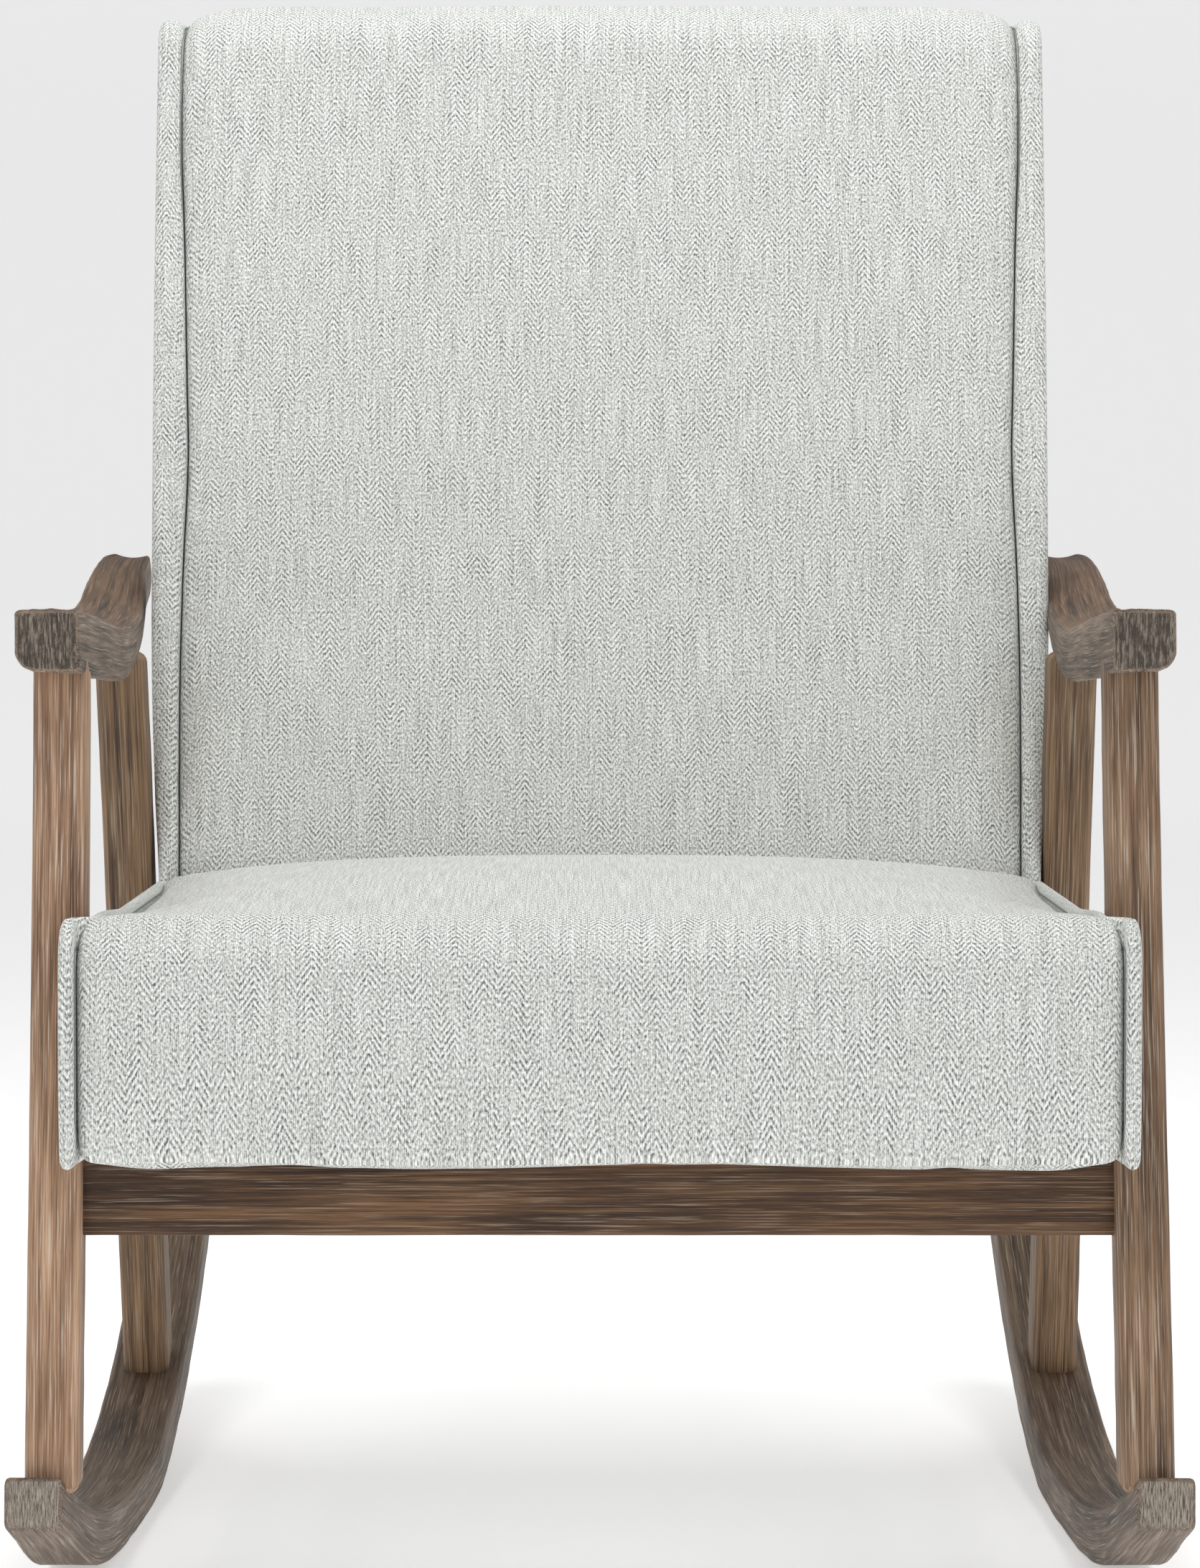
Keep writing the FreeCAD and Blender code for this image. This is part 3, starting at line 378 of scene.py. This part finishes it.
def timber(name, size, cuts, rounding, shape, material, slot, wobble=0.25):
    """A finished timber: a straight bar moved into its shape, with a slightly hand-sanded surface. Each one
    is cut from another place in the board, so the order in which they are made is part of their look."""
    global pieces_made
    pieces_made += 1
    bm, grain = bar(*size, cuts, rounding)
    shift = Vector((0.31, 0.77, 0.53)) * pieces_made
    for v in bm.verts:
        straight = v.co.copy()
        v[grain] = v[grain] + shift
        v.co = shape(straight)
        v.co += noise.noise_vector(v.co * 45 + shift) * wobble * MM
    bmesh.ops.recalc_face_normals(bm, faces=bm.faces)
    return add_piece(name + "_timber", bm, material, slot, name)


# ------------------------------------------------------------------ timber

def post_front(z):
    return FRONT + 0.005 + 0.122 * z


def leg_front(z):
    return FRONT + 0.618 - 0.38 * z


def lean(z):
    """The uprights and arms stand a hair out of square, towards the left."""
    return -0.0052 * (z - 0.08)


def spread(z):
    """The rockers and the feet stand a little wider than the arms."""
    return 1 + 0.011 * (1 - smooth(z, 0.0, 0.5))


def rocker_shape(side):
    """A running edge, widening inwards from the tip to the middle."""
    def shape(p):
        y = p.y + (FRONT + BACK) / 2
        behind = y - FRONT
        inner = OUTSIDE - 0.032 - 0.016 * min(behind / 0.44, 1)
        share = p.x / ROCKER_WIDTH + 0.5
        x = inner + share * (OUTSIDE - inner)
        low = ROCKER_RADIUS - math.sqrt(ROCKER_RADIUS ** 2 - (y - CONTACT) ** 2)
        reach = ROCKER_RADIUS - ROCKER_DEPTH
        high = ROCKER_RADIUS - math.sqrt(reach ** 2 - (y - CONTACT) ** 2)
        # the tip's top is levelled in front of the post
        if behind < 0.06:
            high = min(high, 0.0925 + 0.004 * smooth(behind, 0, 0.03))
        # the underside is fuller between the post and where the rocker touches the floor
        fuller = smooth(behind, 0.03, 0.15) * (1 - smooth(behind, 0.17, 0.34))
        low -= 0.007 * fuller
        high -= 0.0025 * fuller
        up = p.z / ROCKER_DEPTH + 0.5
        return Vector((side * x * spread(low), y, low + up * (high - low)))

    return shape


# heights of the arms' edges in millimetres, against millimetres behind the tips
ARM_INNER = [(35, 569.5), (60, 569), (130, 566), (190, 563), (250, 559), (310, 557), (360, 557.5),
             (411, 560), (446, 562.5), (511, 571), (576, 589), (640, 603)]
ARM_OUTER = [(35, 569.5), (130, 569.5), (250, 570), (320, 569), (390, 571), (450, 578), (507, 588),
             (570, 597), (640, 604)]
ARM_UNDER_INNER = [(35, 535), (60, 533.5), (116, 529.5), (200, 527), (273, 524.3), (320, 524.5),
                   (367, 526.7), (442, 535.8), (468, 541.7), (520, 551), (576, 561), (640, 574)]
ARM_UNDER_OUTER = [(35, 535), (110, 535.5), (170, 535), (230, 531), (320, 528), (463, 529), (512, 531),
                   (576, 540), (640, 560)]


ARM_START = 35
ARM_LENGTH = 605


def arm_shape(side):
    """A dished arm, turned outwards at the rear."""
    def shape(p):
        behind = p.y / MM + ARM_LENGTH / 2 + ARM_START
        share = p.x / ARM_WIDTH + 0.5
        inner = along(ARM_INNER, behind)
        outer = along(ARM_OUTER, behind)
        dish = 2.5 * smooth(behind, 110, 260)
        high = inner + (outer - inner) * share - dish * 4 * share * (1 - share)
        under = along(ARM_UNDER_INNER, behind)
        low = under + (along(ARM_UNDER_OUTER, behind) - under) * share
        # the lower outer edge is rounded
        low += 8 * max((share - 0.7) / 0.3, 0) ** 2
        up = p.z / ARM_DEPTH + 0.5
        # the inner face eases away from the back, and is fuller below
        x = 0.304 + p.x + 0.0085 * smooth(behind, 250, 600) \
            + (1 - share) * 0.006 * smooth(behind, 470, 640)
        x -= (1 - share) * 0.0015 * smooth(behind, 60, 200) * math.sin(math.pi * up)
        # the outer rear corner is rounded off in plan
        x -= share * 0.010 * (1 - math.sqrt(1 - share_of(behind, 612, 640.5) ** 2))
        z = (low + up * (high - low)) * MM
        return Vector((side * x + lean(z), FRONT + behind * MM, z))

    return shape


def upright_shape(side, front_at, low, high):
    """A raked post or leg from height low to high: it runs up the bar's length."""
    def shape(p):
        z = (low + high) / 2 + p.y
        return Vector((side * (STANDING * spread(z) + p.x) + lean(z), front_at(z) + p.z, z))
    return shape


for side_name, side in SIDES:
    timber("rocker_" + side_name, (ROCKER_WIDTH, BACK - FRONT, ROCKER_DEPTH), (1, 70, 0), 0.0045,
           rocker_shape(side), rocker_timber, "rocker_timber", 0.4)
    timber("arm_" + side_name, (ARM_WIDTH, ARM_LENGTH * MM, ARM_DEPTH), (6, 70, 4), 0.0035,
           arm_shape(side), arm_timber, "brushed_timber", 0.4)
    shape = upright_shape(side, lambda z: post_front(z) + POST_DEPTH / 2, 0.080, 0.545)
    timber("front_post_" + side_name, (UPRIGHT_WIDTH, 0.465, POST_DEPTH), (1, 24, 1), 0.0055,
           shape, post_timber[side_name], "brushed_timber")
    shape = upright_shape(side, lambda z: leg_front(z) + LEG_DEPTH / 2, 0.045, 0.540)
    timber("back_leg_" + side_name, (UPRIGHT_WIDTH, 0.495, LEG_DEPTH), (1, 24, 1), 0.0065,
           shape, leg_timber, "brushed_timber")
    rail_start = post_front(RAIL_MIDDLE) + 0.025
    rail_end = leg_front(RAIL_MIDDLE) + 0.012
    timber("side_rail_" + side_name, (RAIL_THICKNESS, rail_end - rail_start, RAIL_DEPTH), (1, 20, 2), 0.004,
           lambda p: Vector((side * STANDING + p.x, p.y + (rail_start + rail_end) / 2, RAIL_MIDDLE + p.z)),
           rail_timber, "brushed_timber")

for name, front_face in (("front_rail", post_front(RAIL_MIDDLE) + 0.009),
                         ("rear_rail", leg_front(RAIL_MIDDLE) + 0.009)):
    timber(name, (RAIL_THICKNESS, CROSS_RAIL_LENGTH, RAIL_DEPTH), (1, 30, 2), 0.005,
           lambda p: Vector((p.y, front_face + RAIL_THICKNESS / 2 + p.x, RAIL_MIDDLE + p.z)),
           rail_timber, "brushed_timber")


# ------------------------------------------------------------------ upholstery

def slab(outline, low_x, high_x, roundings, default):
    """A closed block from its side outline in millimetres behind the tips and above the floor. The corners
    in roundings have their own radius, on the edge across the chair; every other edge has the default."""
    bm = bmesh.new()
    ring = [bm.verts.new((low_x, FRONT + d * MM, z * MM)) for d, z in outline]
    face = bm.faces.new(ring)
    pull_out(bm, bmesh.ops.extrude_face_region(bm, geom=[face])["geom"], high_x - low_x)
    bmesh.ops.recalc_face_normals(bm, faces=bm.faces)
    for (d, z), amount in roundings:
        spot = Vector((0, FRONT + d * MM, z * MM))
        crossing = [e for e in bm.edges
                    if abs((e.verts[0].co - e.verts[1].co).x) > abs(high_x - low_x) * 0.9]
        edge = min(crossing, key=lambda e: (Vector((0, e.verts[0].co.y, e.verts[0].co.z)) - spot).length)
        bmesh.ops.bevel(bm, geom=[edge], offset=amount * MM, offset_type="OFFSET", segments=8, profile=0.5,
                        affect="EDGES", material=-1)
    rims = [e for e in bm.edges if e.calc_face_angle(0) > math.radians(35)]
    bmesh.ops.bevel(bm, geom=rims, offset=default * MM, offset_type="OFFSET", segments=3, profile=0.5,
                    affect="EDGES", material=-1, clamp_overlap=True)
    return bm


def frozen(piece):
    """Turn a piece's modifiers into its mesh."""
    bpy.context.view_layer.update()
    settled = bpy.data.meshes.new_from_object(piece.evaluated_get(bpy.context.evaluated_depsgraph_get()))
    old = piece.data
    piece.modifiers.clear()
    piece.data = settled
    bpy.data.meshes.remove(old)
    settled.name = piece.name


def blow_up(piece, cap):
    """Fill the cover as stuffing does, by a short cloth simulation under pressure; no point moves further
    than the cap."""
    rest = [v.co.copy() for v in piece.data.vertices]
    cloth = piece.modifiers.new("filling", "CLOTH")
    cloth.settings.use_pressure = True
    cloth.settings.uniform_pressure_force = 4
    cloth.settings.effector_weights.gravity = 0
    cloth.settings.quality = 4
    cloth.point_cache.frame_start = 1
    cloth.point_cache.frame_end = 20
    for step in range(1, 21):
        bpy.context.scene.frame_set(step)
    frozen(piece)
    bpy.context.scene.frame_set(1)
    for v, start in zip(piece.data.vertices, rest):
        moved = v.co - start
        if moved.length > cap:
            v.co = start + moved * (cap / moved.length)


def cushion(name, bm, voxel, shape, material, nodes, cap=0, levels=1):
    """A padded piece: remeshed evenly, drawn into its shape, then blown up."""
    piece = add_piece(name, bm, material, "upholstery", *nodes)
    even = piece.modifiers.new("even", "REMESH")
    even.mode = "VOXEL"
    even.voxel_size = voxel
    even.use_smooth_shade = True
    ease = piece.modifiers.new("ease", "SMOOTH")
    ease.factor = 0.5
    ease.iterations = 6
    frozen(piece)
    for v in piece.data.vertices:
        v.co = shape(v.co)
    if cap:
        blow_up(piece, cap)
    for polygon in piece.data.polygons:
        polygon.use_smooth = True
    if levels:
        finer = piece.modifiers.new("finer", "SUBSURF")
        finer.levels = levels
        finer.render_levels = levels
    return piece


SEAT_HALF = 0.2835


def up_the_seat(z):
    """0 at the seat's lower edge and 1 at its upper one."""
    return share_of(z / MM, 268, 399)


def seat_shape(p):
    """Crown the seat's top, fill its front in front of the posts and draw its lower edge in."""
    behind = (p.y - FRONT) / MM
    share = abs(p.x) / SEAT_HALF
    high = smooth(p.z, 0.330, 0.398)
    crown = smooth(behind, 15, 210) * (1 - 0.35 * smooth(behind, 330, 470))
    rise = (14 - 23.5 * share ** 2.9) * crown * MM
    front = 1 - smooth(behind, 20, 60)
    belly = 4 * front * (1 - share ** 4) * math.sin(math.pi * up_the_seat(p.z)) * MM
    wide = 1 + 0.034 * front
    sag = (math.sin(p.x * 23 + 0.6) - 8.0) * front * (1 - smooth(p.z, 0.268, 0.31)) * MM
    return Vector((p.x * wide, p.y - belly, p.z + rise * high + sag))


SWELL = 0.004              # how far the stuffing may push a cover out
seat_outline = [(6, 269), (6, 397), (463, 398), (447, 316), (562, 316), (562, 269)]
seat_cushion = cushion(
    "seat_cushion",
    slab(seat_outline, -SEAT_HALF + 0.002, SEAT_HALF - 0.002, [((6, 397), 26)], 4),
    0.006, seat_shape, cloth, ("seat_cover", "seat_foam", "seat_rear_panel"), SWELL)


def seat_side_shape(side):
    """Stand the panel out from the posts in front, fill it at the outside and lower its edges."""
    def shape(p):
        behind = (p.y - FRONT) / MM
        front = 1 - smooth(behind, 22, 36)
        full = front * (0.55 + 0.45 * math.sin(math.pi * up_the_seat(p.z)) ** 0.5)
        outer = smooth(abs(p.x), 0.2795, 0.284)
        x = abs(p.x) + outer * full * 0.0018 + front * 0.0128
        drop = 6 * smooth(behind, 60, 210) * smooth(p.z, 0.35, 0.39) * MM
        sag = 8 * front * (1 - smooth(p.z, 0.268, 0.31)) * MM
        return Vector((side * x, p.y, p.z - drop - sag))
    return shape


seat_side_outline = [(4, 268.5), (4, 400), (464, 400), (447, 316), (563, 316), (563, 268.5)]
seat_sides = {}
for side_name, side in SIDES:
    seat_sides[side_name] = cushion(
        "seat_side_" + side_name,
        slab(seat_side_outline, side * 0.2765, side * 0.2840, [((4, 400), 20)], 2.6),
        0.003, seat_side_shape(side), cloth, ("seat_side_panel_" + side_name,), levels=0)

# half widths of the back in millimetres, at its seams and over all, against heights
BACK_SEAM = [(300, 273), (394, 274.5), (529, 276), (573, 275.5), (596, 275), (666, 273), (713, 274.5),
             (821, 278), (865, 280), (935, 280), (1000, 279)]
BACK_OUTER = [(300, 282), (385, 283), (450, 287), (515, 290), (631, 291.8), (780, 292.9), (950, 293),
              (1000, 293)]
BACK_HALF = 0.270          # before it is drawn to its seams
BACK_FOOT = 375            # the front face behind the tips at floor level, in millimetres
BACK_RAKE = 0.231


def back_front(z):
    return FRONT + BACK_FOOT * MM + BACK_RAKE * z


def leaning(d, z):
    """A point of the back: d behind its raked front face, at height z."""
    return BACK_FOOT + BACK_RAKE * z + d, z


def back_shape(p):
    """Draw the back to its seams, crown its face and round its top towards the corners."""
    z = p.z / MM
    wide = along(BACK_SEAM, z) * MM
    x = p.x / BACK_HALF * wide
    share = min(abs(x) / wide, 1)
    face = 1 - smooth((p.y - back_front(p.z)) / MM, 5, 40)
    belly = 5 * face * (1 - share ** 3) * MM
    top = smooth(z, 890, 960)
    near = abs(x) / MM
    drop = (3.2 * (near / 240) ** 2 + 11 * max((near - 240) / 48, 0) ** 1.6) * top * MM
    return Vector((x, p.y - belly, p.z - drop))


back_outline = [leaning(4, 310), leaning(4, 973), leaning(69, 973), leaning(69, 310)]
back_cushion = cushion(
    "back_cushion",
    slab(back_outline, -BACK_HALF, BACK_HALF, [(leaning(4, 973), 34), (leaning(69, 973), 14)], 4),
    0.006, back_shape, cloth, ("back_cover", "back_foam", "back_rear_panel"), SWELL)


def back_side_shape(side):
    """Draw the panel between the seam and the back's outer edge."""
    def shape(p):
        z = p.z / MM
        seam = along(BACK_SEAM, z)
        outer = along(BACK_OUTER, z)
        share = (abs(p.x) / MM - 270) / 10
        # behind, the panel laps over the body
        inner = seam - 3.5 - 9 * smooth((p.y - back_front(p.z)) / MM, 30, 60)
        x = inner + share * (outer - inner)
        return Vector((side * x * MM, p.y, p.z))
    return shape


back_side_outline = [leaning(2, 310), leaning(2, 958), leaning(71, 958), leaning(71, 310)]
back_sides = {}
for side_name, side in SIDES:
    back_sides[side_name] = cushion(
        "back_side_" + side_name,
        slab(back_side_outline, side * 0.270, side * 0.280, [(leaning(2, 958), 20), (leaning(71, 958), 14)],
             3.5),
        0.003, back_side_shape(side), cloth, ("back_side_panel_" + side_name,), levels=0)


# ------------------------------------------------------------------ seams, drawn as dark lines of painted shade

def surface_of(piece):
    return BVHTree.FromObject(piece, bpy.context.evaluated_depsgraph_get())


SEAM_STEPS = 40            # how finely a seam is felt for
SEAM_SHADE_RADIUS = 0.6 * MM


def seam(name, body, panel, looks, start_x, end_x, slot):
    """A dark line of painted shade in the sunk seam where a side panel meets the body: for each look (a
    spot and a direction, seen from the side), feel outwards for the place where the panel rises above the
    body, and lay the line there."""
    body, panel = surface_of(body), surface_of(panel)
    points = []
    for spot, direction in looks:
        for step in range(SEAM_STEPS + 1):
            x = start_x + (end_x - start_x) * step / SEAM_STEPS
            origin = Vector((x, *spot))
            on_body = body.ray_cast(origin, Vector((0, *direction)))
            on_panel = panel.ray_cast(origin, Vector((0, *direction)))
            if on_panel[0] and (not on_body[0] or on_panel[3] < on_body[3]):
                points.append(origin + Vector((0, *direction)) * (on_panel[3] + 0.2 * MM))
                break
    for _ in range(2):
        eased = [(a + 2 * b + c) / 4 for a, b, c in zip(points, points[1:], points[2:])]
        points = [points[0], *eased, points[-1]]
    path = bpy.data.curves.new(name, "CURVE")
    path.dimensions = "3D"
    path.bevel_depth = SEAM_SHADE_RADIUS
    path.bevel_resolution = 1
    path.use_fill_caps = True
    line = path.splines.new("POLY")
    line.points.add(len(points) - 1)
    for point, place in zip(line.points, points):
        point.co = (*place, 1)
    thread = new_object(name, path)
    bpy.context.view_layer.update()
    mesh = bpy.data.meshes.new_from_object(thread.evaluated_get(bpy.context.evaluated_depsgraph_get()))
    bpy.data.objects.remove(thread)
    bm = bmesh.new()
    bm.from_mesh(mesh)
    bmesh.ops.recalc_face_normals(bm, faces=bm.faces)
    return add_piece(name, bm, seam_shade_line, slot)


def between(start, end, count):
    """Evenly spaced places from start to end."""
    return [[a + (b - a) * index / count for a, b in zip(start, end)] for index in range(count + 1)]


def looks_round(front_low, front_high, turn, rear, count):
    """Looks at a rounded outline: at its front from low to high, round its top edge, then along its top."""
    away = 0.09
    looks = [((FRONT + (d - 60) * MM, z * MM), (1, 0)) for d, z in between(front_low, front_high, count)]
    for index in range(1, 12):
        angle = math.radians(90 * index / 12)
        way = (math.cos(angle), -math.sin(angle))
        looks.append(((FRONT + turn[0] * MM - away * way[0], turn[1] * MM - away * way[1]), way))
    looks += [((FRONT + d * MM, z * MM + away), (0, -1)) for d, z in between(turn, rear, count)]
    return looks


# each seam gets a dark line of painted shade standing for its crease's shadow
for side_name, side in SIDES:
    seam("seat_seam_shade_" + side_name, seat_cushion, seat_sides[side_name],
         looks_round((6, 276), (6, 368), (36, 368), (440, 380), 30),
         side * 0.270, side * 0.300, "upholstery")
    seam("back_seam_shade_" + side_name, back_cushion, back_sides[side_name],
         looks_round(leaning(4, 415), leaning(4, 925), leaning(30, 925), leaning(52, 925), 60),
         side * 0.262, side * 0.296, "upholstery")


# ------------------------------------------------------------------ parts kept as they are

KEPT = {
    dowel_wood: ("rocker_dowels", "arm_dowels", "side_rail_dowels"),
    frame_wood: ("seat_frame_front", "seat_frame_rear", "seat_frame_cross", "seat_frame_left",
                 "seat_frame_right", "seat_corner_blocks", "back_stile_left", "back_stile_right",
                 "back_bottom_rail", "back_top_rail"),
    zinc: ("front_rail_bolts", "rear_rail_bolts", "barrel_nuts", "seat_screws", "back_bolts",
           "seat_spring_clips"),
    spring_steel: ("seat_springs",),
    dust_felt: ("seat_dust_cover",),
    webbing_cloth: ("back_webbing",),
}
for material, names in KEPT.items():
    for name in names:
        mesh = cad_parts[name].data
        mesh.materials.clear()
        mesh.materials.append(material)


# ------------------------------------------------------------------ floor, light and camera

def stage_floor():
    """A pale sweep: a wide floor that curves up into a backdrop well behind the chair."""
    bm = bmesh.new()
    profile = [(-30, 0), (10, 0), (13, 0.5), (15, 2), (16, 5), (16, 12)]
    ring = [bm.verts.new((-30, y, z)) for y, z in profile]
    edges = [bm.edges.new(pair) for pair in zip(ring, ring[1:])]
    pull_out(bm, bmesh.ops.extrude_edge_only(bm, edges=edges)["geom"], 60)
    # matt white paper with a faint glow, so that it stays white far from the lamps
    paper = fine_material("white_paper_sweep", "#F4F4F4", "#F8F8F8", 0.05, roughness=0.95, relief=0.0)
    surface = paper.node_tree.nodes["Principled BSDF"]
    surface.inputs["Emission Color"].default_value = (1, 1, 1, 1)
    surface.inputs["Emission Strength"].default_value = 0.40
    new_object("sweep", smooth_mesh("sweep", bm, paper))


# each lamp's place, its size and its power in watts; all of them look at the seat
LAMPS = {
    "overhead": ((0, -0.6, 3.2), (3.0, 2.5), 78),
    "front_left": ((-2.2, -3.4, 1.9), (1.8, 1.8), 14),
    "front_right": ((2.2, -3.4, 1.9), (1.8, 1.8), 14),
}
LAMPS_LOOK_AT = Vector((0, 0, 0.5))
ROOM_LIGHT = 0.32
CAMERA_DISTANCE = 2.750    # in front of the rockers' tips
CAMERA_HEIGHT = 0.589
CAMERA_TILT = 2.386        # degrees down
CAMERA_LENS = 115.5        # millimetres, on a sensor 36 mm wide

stage_floor()
for name, (place, (width, depth), power) in LAMPS.items():
    lamp_data = bpy.data.lights.new(name, "AREA")
    lamp_data.shape = "RECTANGLE"
    lamp_data.size, lamp_data.size_y = width, depth
    lamp_data.energy = power
    lamp = new_object(name, lamp_data)
    lamp.location = place
    lamp.rotation_euler = (LAMPS_LOOK_AT - Vector(place)).to_track_quat("-Z", "Y").to_euler()

scene = bpy.context.scene
scene.view_settings.view_transform = "Standard"
scene.world = scene.world or bpy.data.worlds.new("studio")
scene.world.use_nodes = True
background = scene.world.node_tree.nodes["Background"]
background.inputs["Color"].default_value = (1, 1, 1, 1)
background.inputs["Strength"].default_value = ROOM_LIGHT

camera_data = bpy.data.cameras.new("camera")
camera_data.sensor_width = 36
camera_data.lens = CAMERA_LENS
scene.camera = new_object("camera", camera_data)
scene.camera.location = (0, FRONT - CAMERA_DISTANCE, CAMERA_HEIGHT)
scene.camera.rotation_euler = (math.radians(90 - CAMERA_TILT), 0, 0)
